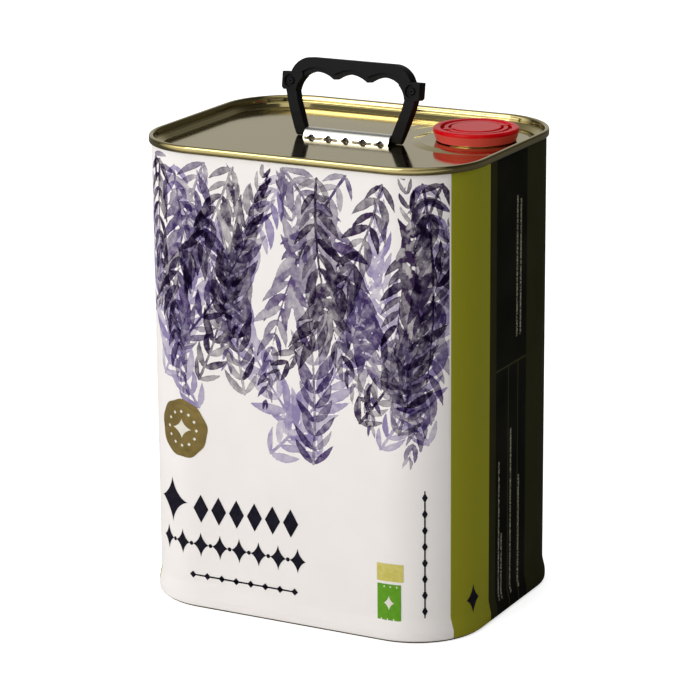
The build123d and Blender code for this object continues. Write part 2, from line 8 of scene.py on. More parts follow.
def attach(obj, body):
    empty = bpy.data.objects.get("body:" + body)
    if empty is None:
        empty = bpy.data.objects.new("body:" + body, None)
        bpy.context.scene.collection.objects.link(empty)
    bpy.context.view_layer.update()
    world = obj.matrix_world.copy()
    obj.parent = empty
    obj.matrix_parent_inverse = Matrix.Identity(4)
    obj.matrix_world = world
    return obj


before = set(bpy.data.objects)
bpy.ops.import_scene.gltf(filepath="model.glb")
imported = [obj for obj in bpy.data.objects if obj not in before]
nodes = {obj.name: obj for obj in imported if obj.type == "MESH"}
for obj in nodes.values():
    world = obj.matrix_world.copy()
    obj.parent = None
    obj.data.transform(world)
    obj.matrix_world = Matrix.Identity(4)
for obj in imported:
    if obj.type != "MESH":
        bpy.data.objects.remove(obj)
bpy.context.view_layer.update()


def srgb(red, green, blue):
    """Linear colour of an 8-bit screen colour."""
    shares = [channel / 255 for channel in (red, green, blue)]
    return tuple(s / 12.92 if s <= 0.04045 else ((s + 0.055) / 1.055) ** 2.4 for s in shares) + (1.0,)


# Sizes of the tin that its print and its finishes follow, in metres
BODY_LENGTH = 0.149
BODY_DEPTH = 0.116
CORNER_RADIUS = 0.030
STRAIGHT_X = BODY_LENGTH / 2 - CORNER_RADIUS
STRAIGHT_Y = BODY_DEPTH / 2 - CORNER_RADIUS
CORNER_ARC = CORNER_RADIUS * math.pi / 2
CLOSURE_PLACE = (0.0491, 0.0195)

# The range that most of a noise's values lie in
NOISE_LOW = 0.3
NOISE_HIGH = 0.7

# Printed zones of the wall, as the depth coordinate at which each starts, in metres
LABEL_WHITE = srgb(240, 235, 231)
LIME = srgb(146, 144, 34)
DARK_OLIVE = srgb(44, 43, 20)
PANEL_BLACK = srgb(16, 17, 10)
LABEL_EDGE_Y = 0.0457
LIME_EDGE_Y = 0.0208
PANEL_FRONT_Y = -0.0142
PANEL_BACK_Y = 0.0150
PRINT_ZONES = (
    (-LABEL_EDGE_Y, LIME),
    (-LIME_EDGE_Y, DARK_OLIVE),
    (PANEL_FRONT_Y, PANEL_BLACK),
    (PANEL_BACK_Y, DARK_OLIVE),
    (LABEL_EDGE_Y, LABEL_WHITE),
)

# The printed coat: its index of refraction and roughness, and the depth in metres and strength of the sheet's waves
WALL_INDEX = 1.07
WALL_ROUGH = (0.46, 0.54)
SHEET_WAVE = 0.0004
SHEET_WAVE_STRENGTH = 0.35

# Rules and dotted lines of the dark side panel, in metres. A dotted line has its depth, its ends and its half width,
# and all of them stay within SIDE_DEPTH of the tin's widest place.
OLIVE_RULE = srgb(58, 60, 34)
PANEL_RULE_Z = 0.1075
PANEL_RULE_WIDTH = 0.0007
PANEL_COLUMN_RULES = (-0.0020, 0.0074)
DOT_GREY = srgb(158, 158, 136)
DOT_SHARE = 0.95
DOTTED_LINES = (
    (0.0060, 0.1180, 0.1780, 0.0007),
    (0.0095, 0.1180, 0.1760, 0.0007),
    (-0.0108, 0.0070, 0.0680, 0.0006),
    (-0.0082, 0.0070, 0.0360, 0.0006),
    (0.0006, 0.0070, 0.0800, 0.0007),
    (0.0086, 0.0070, 0.0570, 0.0007),
)
SIDE_DEPTH = 0.0002

# Bare metal: the strip along the side seam, within BACK_DEPTH of the tin's deepest place, and the turned foot, in
# metres. Its roughness is less than the coat's by BARE_SMOOTHER.
BARE_STRIP = 0.008
BARE_FOOT_Z = 0.0011
BACK_DEPTH = 0.0004
BARE_SMOOTHER = 0.26

# The sheet of the fern print, in metres
PRINT_HALF = 0.0726
PRINT_LOW = 0.060
PRINT_HIGH = 0.1955
PRINT_STEP = 0.0005
PRINT_LIFT = 0.00006
MERGE_DISTANCE = 0.000001

# Fern fronds of each glaze, pale to dark: root along and height in mm, bearing in degrees, length in mm, sway in
# radians, leaflet length in mm
FERN_SEED = 11
FRONDS = (
    (
        (-64, 96, 74, 96, 0.7, 12), (-38, 84, 108, 104, -0.6, 13), (-12, 70, 62, 118, 0.8, 14),
        (20, 72, 118, 116, -0.7, 13), (40, 78, 70, 112, 0.6, 13), (66, 80, 102, 110, -0.5, 12),
        (4, 196, 250, 92, 0.5, 12), (56, 197, 285, 84, -0.4, 11), (-52, 197, 288, 74, 0.5, 11),
    ),
    (
        (-70, 198, 302, 92, -0.6, 12), (-34, 199, 262, 104, 0.7, 14), (-4, 199, 292, 118, -0.8, 14),
        (32, 199, 248, 112, 0.6, 13), (60, 199, 268, 120, -0.5, 14), (-56, 110, 58, 92, 0.5, 12),
        (12, 66, 96, 126, 0.4, 13), (70, 92, 122, 104, -0.6, 12),
    ),
    (
        (-60, 198, 276, 84, 0.6, 11), (-22, 198, 236, 84, -0.6, 12), (-18, 92, 84, 106, -0.7, 13),
        (16, 198, 282, 104, 0.7, 13), (46, 198, 240, 108, -0.6, 13), (50, 84, 88, 112, 0.5, 13),
        (72, 198, 256, 96, 0.5, 12), (-44, 96, 78, 98, 0.6, 12), (30, 88, 64, 98, 0.6, 12),
    ),
)
GLAZES = (srgb(150, 140, 186), srgb(96, 80, 126), srgb(62, 46, 80))

# Brush strokes: lengths in metres, the leaflets' opening at the stem's root and how far it has closed at the tip in
# degrees, their waver and curls in radians, and the rest as shares
STEM_HALF = 0.0006
STEM_TAPER = 1.15
TIP_HALF = 0.00008
SPINE_POINTS = 9
LEAFLET_PITCH = 0.0058
LEAFLET_GROWTH = 1.3
LEAFLET_OPENING = 58
LEAFLET_CLOSING = 22
LEAFLET_WAVER = 0.12
LEAFLET_LENGTHS = (0.78, 1.12)
LEAFLET_WIDTHS = (0.19, 0.27)
LEAFLET_CURLS = (0.3, 0.9)
GLAZE_MARGIN = 0.0012
UNPAINTED_TONE = 0.7
STROKE_TONES = (0.5, 1.0)

# Edges of the glazes, in millimetres, and how much thicker the ink is where it pools and by the wash's swing
EDGE_WOBBLE = 0.16
EDGE_INNER = -0.12
EDGE_OUTER = 0.04
POOL_INSET = 0.2
POOL_WIDTH = 0.22
POOL_THICKER = 0.16
WASH_SWING = 0.2

# Generic ornament on the lower front: along and height of each middle, half widths, all in mm, and power
ORNAMENT = (
    [(-57.0, 46.0, 9.0, 10.0, 3.0), (-57.0, 46.0, 3.2, 3.6, 1.0)]
    + [(-41.5 + 8.6 * i, 44.5, 3.6, 6.2, 2.0) for i in range(6)]
    + [(-60.5 + 9.3 * i, 28.5, 4.0, 5.6, 3.0) for i in range(8)]
    + [(-55.85 + 9.3 * i, 28.5, 0.9, 0.9, 1.0) for i in range(7)]
    + [(-21.5, 14.6, 23.5, 0.35, 0.2)]
    + [(-46.0 + 7.0 * i, 14.6, 1.6, 1.6, 2.0) for i in range(8)]
    + [(62.0, 38.5, 0.3, 27.5, 0.2)]
    + [(62.0, 14.0 + 7.0 * i, 1.2, 2.2, 2.0) for i in range(8)]
    + [(85.5, 15.5, 4.4, 6.8, 3.0)]
)
FAN_POINTS = 49
FAN_SHARES = np.array([0.0, 0.35, 0.7, 1.0])
ORNAMENT_TINT = 0.2
ORNAMENT_LIFT = 0.00012

# The seal: its middle in mm, its radius in metres, the shares of it at which its rings lie, and their rises in
# steps of so many metres. Its emblem is a star in a ring of dots, in mm.
SEAL_ALONG = -50.2
SEAL_HEIGHT = 78.6
SEAL_RADIUS = 0.0126
SEAL_POINTS = 97
SEAL_RINGS = np.array([0.0, 0.3, 0.6, 0.78, 0.8, 0.83, 0.86, 0.9, 0.92, 0.95, 1.0])
SEAL_RISES = np.array([5.0, 5.0, 5.0, 5.0, 3.0, 3.0, 5.0, 5.0, 3.0, 3.0, 2.0])
RISE_STEP = 0.00002
DOT_RING = 7.4
DOTS = 12
SEAL_EMBLEM = [(SEAL_ALONG, SEAL_HEIGHT, 5.2, 4.4, 3.0)] + [
    (SEAL_ALONG + DOT_RING * math.cos(turn), SEAL_HEIGHT + DOT_RING * math.sin(turn), 0.8, 0.8, 2.0)
    for turn in (2 * math.pi * k / DOTS for k in range(DOTS))
]
SEAL_EMBLEM_LIFT = 0.00030

# The two patches, by two (along, height) corners in metres, and what lies on the green one, in mm
PATCH_COLUMNS = 25
PATCH_ROWS = 9
GREEN_PATCH = ((0.0418, 0.0088), (0.0522, 0.0252))
PALE_PATCH = ((0.0416, 0.0264), (0.0532, 0.0340))
MARK_EMBLEM = (
    [(47.0, 17.0, 2.4, 3.4, 3.0)]
    + [(43.6 + 1.36 * k, 9.9 + 14.2 * (k % 2), 0.4, 0.5, 2.0) for k in range(6)]
)
MARK_EMBLEM_LIFT = 0.00018

# The closure's skirt, below its rim and outside its neck, in metres
SKIRT_TOP = 0.2004
SKIRT_INNER = 0.0164
SKIRT_OUTER = 0.0166
# Share by which the painted reflection of the lid makes the skirt paler
SKIRT_REFLECTION_SHARE = 0.45

# The lid: pressed arcs round the closure, which fade between two cosines of the bearing from its axis, and the skin
# of its seam, past the wall's outline, in metres
EMBOSS_RADII = (0.036, 0.042)
EMBOSS_WIDTH = 0.0007
EMBOSS_RISE = 0.6
EMBOSS_FADE = (-0.95, -0.6)
SEAM_MIDDLE_Z = 0.1984
SEAM_HALF = 0.0016
SEAM_BULGE = 6.0
SKIN_FROM = 0.0006
SKIN_TO = 0.0009
# Painted shade on the seam's skin: darkest at SKIN_FOOT by the share SKIN_SHADE, none at SKIN_LIT
SKIN_FOOT = 0.1968
SKIN_LIT = 0.1986
SKIN_SHADE = 0.6

# The bracket's welds, by their (depth, height) and with their stretch along and up, and the line of painted shade
# along the crease between them, in metres
WELD_PITCH = 0.0081
WELD_PLACE = (0.0042, 0.1957)
WELD_RADIUS = 0.0013
WELD_FADE = 0.0004
WELD_RAGGED = 0.0003
WELD_ALONG = 0.75
WELD_RISE = 1.7
# Painted shade along the crease: its height and half width
CREASE_Z = 0.1958
CREASE_HALF = 0.0004

# The room: a pale floor, and a surround that is as bright in a direction as its x, y and z say, each from -1 to 1. A
# loss is the share of that light which mirrors don't show, and grows from one place or direction to another.
WHITE = (1.0, 1.0, 1.0, 1.0)
FLOOR_HALF = 4.0
FLOOR_PALE = 0.92
FLOOR_ROUGH = 0.9
FLOOR_GLOWS = (("Is Camera Ray", 0.7), ("Is Glossy Ray", 0.15), ("Is Transmission Ray", 0.7))
FLOOR_LOSS = 0.85
FLOOR_LOSS_FROM = -0.55
FLOOR_LOSS_TO = -0.25
ROOM_X = (-1.0, 0.5)
ROOM_LEFT = 0.8
ROOM_RIGHT = 0.04
ROOM_MIRRORED_LEFT = 0.55
ROOM_MIRRORED_RIGHT = 0.45
ROOM_LOSS = 0.85
ROOM_RIGHT_LOSS_X = (-0.3, 0.1)
ROOM_LEFT_LOSS_X = (-0.95, -0.7)
ROOM_OVERHEAD = 0.42
ROOM_OVERHEAD_Z = (0.32, 0.8)
ROOM_FRONT = 1.9
ROOM_FRONT_Y = (-0.1, -0.7)
ROOM_FRONT_X = (-0.9, 0.5)
ROOM_FRONT_RIGHT = 0.15
ROOM_BEHIND = 0.9

# Lamps: name, place, width and height in metres, and power in watts
LAMP_TARGET = (0.0, 0.0, 0.1)
LAMPS = (
    ("key", (-0.42, -1.45, 0.95), 1.2, 1.0, 17.0),
    ("top", (-0.1, -0.3, 1.7), 1.6, 1.6, 6.5),
)

# The camera: bearing, height angle and roll in degrees, distances in metres, lens and sensor in millimetres
CAMERA_ANGLES = (27.701, 15.797, -0.428)
CAMERA_ASIDE = -0.000525
CAMERA_TARGET_Z = 0.104307
CAMERA_DISTANCE = 1.308181
CAMERA_NEAREST = 0.05
LENS = 158.14
SENSOR = 36.0


class Graph:
    """A node tree with short calls for its nodes."""

    def __init__(self, tree, place):
        self.nodes = tree.nodes
        self.links = tree.links
        self.place = self.node("ShaderNodeTexCoord").outputs[place]

    def node(self, kind, inputs=None, **settings):
        """A node with its settings, its inputs fed by values or by other nodes' sockets."""
        made = self.nodes.new(kind)
        for key, value in settings.items():
            setattr(made, key, value)
        for key, value in (inputs or {}).items():
            self.feed(made.inputs[key], value)
        return made

    def feed(self, socket, value):
        """Set a socket, or link it to another node's output."""
        if isinstance(value, bpy.types.NodeSocket):
            self.links.new(value, socket)
        else:
            socket.default_value = value

    def axes(self):
        """The place's X, Y and Z."""
        return self.node("ShaderNodeSeparateXYZ", {"Vector": self.place}).outputs

    def math(self, operation, first, second=0.0, third=0.0):
        """One step of arithmetic."""
        return self.node("ShaderNodeMath", {0: first, 1: second, 2: third}, operation=operation).outputs[0]

    def total(self, first, *rest):
        """Sum of values."""
        for part in rest:
            first = self.math("ADD", first, part)
        return first

    def product(self, first, *rest):
        """Product of values."""
        for part in rest:
            first = self.math("MULTIPLY", first, part)
        return first

    def less(self, first, second):
        """The first value less the second."""
        return self.math("SUBTRACT", first, second)

    def size(self, value):
        """A value without its sign."""
        return self.math("ABSOLUTE", value)

    def far(self, *parts):
        """Root of the sum of the parts' squares."""
        return self.math("SQRT", self.total(*(self.math("POWER", part, 2.0) for part in parts)))

    def within(self, value, low, high):
        """One between two values, else nought."""
        return self.math("COMPARE", value, (low + high) / 2, (high - low) / 2)

    def spread(self, value, low, high, to_low=0.0, to_high=1.0):
        """A range mapped to another, and held at its ends."""
        inputs = {"Value": value, "From Min": low, "From Max": high, "To Min": to_low, "To Max": to_high}
        return self.node("ShaderNodeMapRange", inputs).outputs["Result"]

    def swing(self, noise, low, high):
        """A noise's usual range mapped to another."""
        return self.spread(noise, NOISE_LOW, NOISE_HIGH, low, high)

    def noise(self, scale, detail=2.0, rough=0.5, place=None):
        """Noise from nought to one, at a scale per metre."""
        inputs = {"Vector": place or self.place, "Scale": scale, "Detail": detail, "Roughness": rough}
        return self.node("ShaderNodeTexNoise", inputs).outputs["Fac"]

    def stretched(self, shares):
        """The place scaled by a share along each axis."""
        return self.node("ShaderNodeMapping", {"Vector": self.place, "Scale": shares}).outputs["Vector"]

    def attribute(self, name):
        """A value kept on the mesh's points."""
        return self.node("ShaderNodeAttribute", attribute_name=name).outputs["Fac"]

    def clamp(self, value):
        """A value held between nought and one."""
        return self.node("ShaderNodeClamp", {"Value": value}).outputs[0]

    def blend(self, share, first, second, blend_type="MIX"):
        """Colour between two, by a share from nought to one."""
        made = self.node("ShaderNodeMix", data_type="RGBA", blend_type=blend_type)
        for socket, value in ((made.inputs[0], share), (made.inputs[6], first), (made.inputs[7], second)):
            self.feed(socket, value)
        return made.outputs[2]


class Finish(Graph):
    """A material on the standard shader, placed by Object coordinates."""

    def __init__(self, name):
        self.material = bpy.data.materials.new(name)
        self.material.use_nodes = True
        super().__init__(self.material.node_tree, "Object")
        self.shader = self.nodes["Principled BSDF"]

    def layer(self, share, under, over):
        """Colour under a glaze of another, laid as thick as the share says."""
        return self.blend(share, under, over, "MULTIPLY")

    def mottled(self, ink):
        """Ink with the faint cloudiness of the printed coat."""
        return self.blend(self.swing(self.noise(scale=35.0, detail=3.0), 0.0, 0.04), ink, srgb(120, 112, 104))

    def from_closure(self, axes):
        """Offset along the tin from the closure's axis, and distance from that axis."""
        out_x, out_y = (self.less(axes[axis], centre) for axis, centre in zip("XY", CLOSURE_PLACE))
        return out_x, self.far(out_x, out_y)

    def bump(self, height, depth, strength):
        """Soft relief: a height in units of a depth in metres."""
        inputs = {"Height": height, "Distance": depth, "Strength": strength}
        self.links.new(self.node("ShaderNodeBump", inputs).outputs[0], self.shader.inputs["Normal"])

    def set(self, **values):
        """Feed the shader's sockets, named with underlines for spaces."""
        for key, value in values.items():
            self.feed(self.shader.inputs[key.replace("_", " ")], value)


def black_plastic():
    """Satin black nylon with a fine spark-eroded grain."""
    finish = Finish("black_nylon")
    grain = finish.noise(scale=5200.0, detail=3.0, rough=0.6)
    cloud = finish.noise(scale=60.0)
    finish.set(Base_Color=finish.blend(cloud, srgb(13, 13, 14), srgb(21, 21, 22)))
    finish.set(Roughness=finish.swing(grain, 0.42, 0.54), IOR=1.16)
    finish.bump(grain, depth=0.00004, strength=0.5)
    return finish


def red_plastic():
    """Glossy red polythene, a little cloudy, with a painted reflection of the lid making the closure's skirt paler.

    The skirt is found by its height and its distance from the closure's axis.
    """
    finish = Finish("red_polythene")
    cloud = finish.noise(scale=90.0, detail=3.0)
    grain = finish.noise(scale=900.0)
    axes = finish.axes()
    outside = finish.spread(finish.from_closure(axes)[1], SKIRT_INNER, SKIRT_OUTER)
    # Painted reflection of the lid: the skirt below the rim is blended towards pale pink
    painted_reflection = finish.product(outside, finish.math("LESS_THAN", axes["Z"], SKIRT_TOP), SKIRT_REFLECTION_SHARE)
    red = finish.blend(cloud, srgb(200, 6, 16), srgb(216, 12, 24))
    finish.set(Base_Color=finish.blend(painted_reflection, red, srgb(214, 116, 106)))
    finish.set(Roughness=finish.swing(cloud, 0.12, 0.18), IOR=1.18)
    finish.set(Subsurface_Weight=0.06, Subsurface_Radius=(0.004, 0.001, 0.001), Subsurface_Scale=0.5)
    finish.bump(grain, depth=0.00003, strength=0.25)
    return finish


def lacquered_tinplate():
    """Gold lacquer over bright tinplate: mirror-like, with faint rolling lines, soft unevenness and two pressed arcs.

    The arcs are rings about the closure's axis, which fade out away from the handle's side of it. The seam's skin
    bulges as the square of the height from its middle, and has painted shade that darkens it towards its foot. The
    skin is found as the points that lie past the wall's outline, a rounded rectangle.
    """
    finish = Finish("gold_lacquer")
    rolling = finish.noise(scale=400.0, detail=3.0, rough=0.6, place=finish.stretched((0.05, 6.0, 6.0)))
    cloud = finish.noise(scale=22.0)
    axes = finish.axes()
    past = [
        finish.math("MAXIMUM", finish.less(finish.size(axes[axis]), straight), 0.0)
        for axis, straight in (("X", STRAIGHT_X), ("Y", STRAIGHT_Y))
    ]
    skin = finish.spread(finish.less(finish.far(*past), CORNER_RADIUS), SKIN_FROM, SKIN_TO)
    # Painted shade: the seam's skin darkens towards its foot
    foot = finish.product(skin, finish.spread(axes["Z"], SKIN_FOOT, SKIN_LIT, SKIN_SHADE, 0.0))
    bright = finish.blend(cloud, srgb(181, 166, 112), srgb(191, 176, 122))
    finish.set(Base_Color=finish.blend(foot, bright, srgb(74, 58, 26)), Metallic=1.0)
    finish.set(Roughness=finish.swing(rolling, 0.08, 0.12))
    out_x, radius = finish.from_closure(axes)
    near = [finish.size(finish.less(radius, ring)) for ring in EMBOSS_RADII]
    arcs = finish.total(*(finish.spread(away, 0.0, EMBOSS_WIDTH, 1.0, 0.0) for away in near))
    toward = finish.spread(finish.math("DIVIDE", out_x, radius), *EMBOSS_FADE, 1.0, 0.0)
    from_middle = finish.spread(axes["Z"], SEAM_MIDDLE_Z - SEAM_HALF, SEAM_MIDDLE_Z + SEAM_HALF, -1.0, 1.0)
    bulge = finish.product(finish.math("POWER", from_middle, 2.0), -SEAM_BULGE)
    finish.bump(finish.total(cloud, finish.product(arcs, toward, EMBOSS_RISE), bulge), depth=0.0002, strength=0.3)
    return finish


def bright_steel():
    """Bright tinned steel strip with fine drawing lines along it, a heat-darkened rough patch at each weld, and a
    broken line of painted shade along the crease over its foot.

    A weld's patch is the points within a radius of the nearest weld's middle, in lengths stretched along each axis.
    """
    finish = Finish("bright_steel_strip")
    drawn = finish.noise(scale=900.0, detail=3.0, rough=0.6, place=finish.stretched((0.04, 2.0, 2.0)))
    axes = finish.axes()
    nearest = finish.math("SNAP", finish.total(axes["X"], WELD_PITCH / 2), WELD_PITCH)
    along = finish.product(finish.less(axes["X"], nearest), WELD_ALONG)
    out = finish.less(finish.size(axes["Y"]), WELD_PLACE[0])
    rise = finish.product(finish.less(axes["Z"], WELD_PLACE[1]), WELD_RISE)
    ragged = finish.swing(finish.noise(scale=1400.0, detail=3.0), -WELD_RAGGED, WELD_RAGGED)
    away = finish.total(finish.far(along, out, rise), ragged)
    weld = finish.spread(away, WELD_RADIUS, WELD_RADIUS + WELD_FADE, 1.0, 0.0)
    # Painted shade: a broken dark line along the crease, joined with the welds' real darkening
    from_crease = finish.size(finish.less(axes["Z"], CREASE_Z))
    painted_crease_shade = finish.spread(from_crease, CREASE_HALF / 2, CREASE_HALF, 1.0, 0.0)
    dashes = finish.spread(finish.noise(scale=260.0, detail=1.0), 0.42, 0.5)
    burnt_and_shade = finish.math("MAXIMUM", weld, finish.product(painted_crease_shade, dashes))
    metal = finish.blend(drawn, srgb(232, 229, 220), srgb(246, 244, 239))
    dark = finish.blend(drawn, srgb(34, 31, 30), srgb(84, 78, 75))
    finish.set(Base_Color=finish.blend(burnt_and_shade, metal, dark), Metallic=1.0)
    finish.set(Roughness=finish.total(finish.swing(drawn, 0.2, 0.3), finish.product(weld, 0.25)))
    return finish


def plain_finish(name, first, second, rough):
    """A quiet mottled finish between two colours."""
    finish = Finish(name)
    cloud = finish.noise(scale=180.0, detail=4.0)
    finish.set(Base_Color=finish.blend(cloud, first, second), Roughness=finish.swing(cloud, rough, rough + 0.1))
    finish.bump(cloud, depth=0.00005, strength=0.3)
    return finish


def printed_tinplate():
    """Printed wall: zones of ink by the depth coordinate, fine rules with dotted lines, bare metal at foot and seam.

    Each zone is a band of y, the same on both sides of the tin, in the order met going back from the front.
    """
    finish = Finish("printed_tinplate")
    axes = finish.axes()
    across, depth, height = axes["X"], axes["Y"], axes["Z"]
    zones = finish.node("ShaderNodeValToRGB", {"Fac": finish.spread(depth, -BODY_DEPTH / 2, BODY_DEPTH / 2)})
    zones.color_ramp.interpolation = "CONSTANT"
    stops = zones.color_ramp.elements
    stops[0].color = LABEL_WHITE
    stops[1].position = 1.0
    stops[1].color = LABEL_WHITE
    for start, colour in PRINT_ZONES:
        stops.new(start / BODY_DEPTH + 0.5).color = colour

    side = finish.math("GREATER_THAN", finish.size(across), BODY_LENGTH / 2 - SIDE_DEPTH)
    low = finish.math("LESS_THAN", height, PANEL_RULE_Z)
    rules = finish.math("COMPARE", height, PANEL_RULE_Z, PANEL_RULE_WIDTH / 2)
    for y in PANEL_COLUMN_RULES:
        column = finish.product(finish.math("COMPARE", depth, y, PANEL_RULE_WIDTH / 2), low)
        rules = finish.math("MAXIMUM", rules, column)
    rules = finish.product(rules, side, finish.within(depth, PANEL_FRONT_Y, PANEL_BACK_Y))
    ink = finish.blend(rules, zones.outputs["Color"], OLIVE_RULE)

    dots = 0.0
    for y, low_end, high_end, half in DOTTED_LINES:
        line = finish.product(finish.math("COMPARE", depth, y, half), finish.within(height, low_end, high_end))
        dots = finish.math("MAXIMUM", dots, line)
    speck = finish.noise(scale=1.0, rough=0.7, place=finish.stretched((0.0, 900.0, 1500.0)))
    dots = finish.product(dots, side, finish.spread(speck, 0.44, 0.54, 0.0, DOT_SHARE))
    ink = finish.mottled(finish.blend(dots, ink, DOT_GREY))

    back = finish.math("GREATER_THAN", depth, BODY_DEPTH / 2 - BACK_DEPTH)
    strip = finish.product(finish.math("COMPARE", across, 0.0, BARE_STRIP / 2), back)
    bare = finish.math("MAXIMUM", strip, finish.math("LESS_THAN", height, BARE_FOOT_Z))
    rolling = finish.noise(scale=500.0, detail=3.0, rough=0.6, place=finish.stretched((6.0, 6.0, 0.05)))
    metal = finish.blend(rolling, srgb(196, 186, 160), srgb(214, 206, 184))
    finish.set(Base_Color=finish.blend(bare, ink, metal), Metallic=bare)
    rough = finish.swing(finish.noise(scale=2600.0), *WALL_ROUGH)
    finish.set(Roughness=finish.less(rough, finish.product(bare, BARE_SMOOTHER)), IOR=WALL_INDEX)
    finish.bump(finish.noise(scale=14.0, detail=1.0), SHEET_WAVE, SHEET_WAVE_STRENGTH)
    return finish


def ink_finish(name, first, second):
    """Ink laid on the white coat: its tone follows each shape's own tint and a fine noise."""
    finish = Finish(name)
    wash = finish.noise(scale=420.0, detail=4.0, rough=0.65)
    tone = finish.total(finish.product(finish.attribute("tint"), 0.75), finish.spread(wash, 0.35, 0.65, -0.2, 0.2))
    finish.set(Base_Color=finish.blend(finish.clamp(tone), first, second), IOR=WALL_INDEX)
    finish.set(Roughness=finish.swing(wash, *WALL_ROUGH))
    return finish


def wash_finish():
    """The white coat with the fern print in glazes over it.

    Each glaze has two values on the sheet's points: the distance to its nearest stroke's edge in millimetres, less
    than nought inside, and that stroke's tone. A noise shifts the edge, and the ink pools darker just inside it.
    """
    finish = Finish("printed_wash")
    ink = finish.mottled(LABEL_WHITE)
    wobble = finish.swing(finish.noise(scale=650.0, detail=3.0, rough=0.6), -EDGE_WOBBLE, EDGE_WOBBLE)
    wash = finish.swing(finish.noise(scale=260.0, detail=4.0, rough=0.6), -WASH_SWING, WASH_SWING)
    for number, colour in enumerate(GLAZES):
        edge = finish.total(finish.attribute(f"edge_{number}"), wobble)
        cover = finish.spread(edge, EDGE_INNER, EDGE_OUTER, 1.0, 0.0)
        from_pool = finish.size(finish.total(edge, POOL_INSET))
        pool = finish.spread(from_pool, 0.0, POOL_WIDTH, POOL_THICKER, 0.0)
        thick = finish.total(finish.attribute(f"tone_{number}"), pool, wash)
        ink = finish.layer(finish.clamp(finish.product(cover, thick)), ink, colour)
    finish.set(Base_Color=ink, Roughness=finish.swing(finish.noise(scale=2600.0), *WALL_ROUGH), IOR=WALL_INDEX)
    finish.bump(finish.noise(scale=14.0, detail=1.0), SHEET_WAVE, SHEET_WAVE_STRENGTH)
    return finish


def foil_finish():
    """Stamped gold foil with a fine grain."""
    finish = Finish("gold_foil")
    grain = finish.noise(scale=1500.0, detail=3.0, rough=0.7)
    wear = finish.noise(scale=240.0, detail=3.0)
    finish.set(Base_Color=finish.blend(wear, srgb(104, 86, 40), srgb(150, 130, 76)), Metallic=0.35)
    finish.set(Roughness=finish.swing(grain, 0.34, 0.48), Specular_IOR_Level=0.2)
    finish.bump(grain, depth=0.00003, strength=0.4)
    return finish


def give(finish, *names):
    """Give CAD nodes a finish in place of their plain one."""
    for name in names:
        mesh = nodes[name].data
        mesh.materials.clear()
        mesh.materials.append(finish.material)


def wall_points(along, height, lift):
    """Points on the wall at an arc length from the front's middle and a height, lifted off it.

    The outline is a track of corner centres plus the corner radius along the outward normal. The arc length is spent
    in turn on the front's straight, a quarter turn, the side's straight, a second quarter turn and the back's
    straight.
    """
    left = np.abs(along)
    spent = []
    for span in (STRAIGHT_X, CORNER_ARC, 2 * STRAIGHT_Y, CORNER_ARC, STRAIGHT_X):
        spent.append(np.clip(left, 0, span))
        left = left - span
    front, first, side, second, back = spent
    turn = (first + second) / CORNER_RADIUS
    reach = CORNER_RADIUS + lift
    x = np.sign(along) * (front - back + reach * np.sin(turn))
    y = side - STRAIGHT_Y - reach * np.cos(turn)
    return np.stack([x, y, height + 0 * x], axis=-1)


def link(name, data):
    """A new object in the scene."""
    made = bpy.data.objects.new(name, data)
    bpy.context.scene.collection.objects.link(made)
    return made


def new_piece(name, points, faces, finish, values=None):
    """A mesh piece of the printed wall from arrays of points and faces, with named values on its points.

    Points that meet at a pole or a seam are merged, and points that no face uses are left out.
    """
    mesh = bpy.data.meshes.new(name)
    mesh.from_pydata(points.reshape(-1, 3), [], faces.tolist())
    for key, value in (values or {}).items():
        mesh.attributes.new(key, "FLOAT", "POINT").data.foreach_set("value", value.ravel().astype(np.float32))
    work = bmesh.new()
    work.from_mesh(mesh)
    bmesh.ops.remove_doubles(work, verts=work.verts, dist=MERGE_DISTANCE)
    bmesh.ops.delete(work, geom=[point for point in work.verts if not point.link_faces], context="VERTS")
    work.to_mesh(mesh)
    work.free()
    mesh.shade_smooth()
    mesh.materials.append(finish.material)
    piece = link(name, mesh)
    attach(piece, "tin")


def grid_faces(rows, columns):
    """Quads of a grid of rows by columns points, turned to face outwards."""
    first = np.arange(rows * columns).reshape(rows, columns)
    return np.stack([first[:-1, :-1], first[:-1, 1:], first[1:, 1:], first[1:, :-1]], axis=-1).reshape(-1, 4)


def fan_faces(rings, turn):
    """Quads of rings of points about a middle, turned to face outwards."""
    return grid_faces(len(rings), len(turn))[:, ::-1]


def stroke(root, angle, length, width, curl):
    """One brush stroke as spine points with half widths, in (along, height).

    Its bearing grows by the curl from root to tip, and its half width is the tip's and half the width times the sine
    of pi times the 0.8th power of the share of its length.
    """
    share = np.linspace(0, 1, SPINE_POINTS)
    bearing = angle + curl * share
    steps = np.stack([np.cos(bearing), np.sin(bearing)], axis=-1) * length / (SPINE_POINTS - 1)
    spine = np.array(root) + np.cumsum(steps, axis=0) - steps[:1]
    return spine, width * np.sin(np.pi * share ** 0.8) / 2 + TIP_HALF


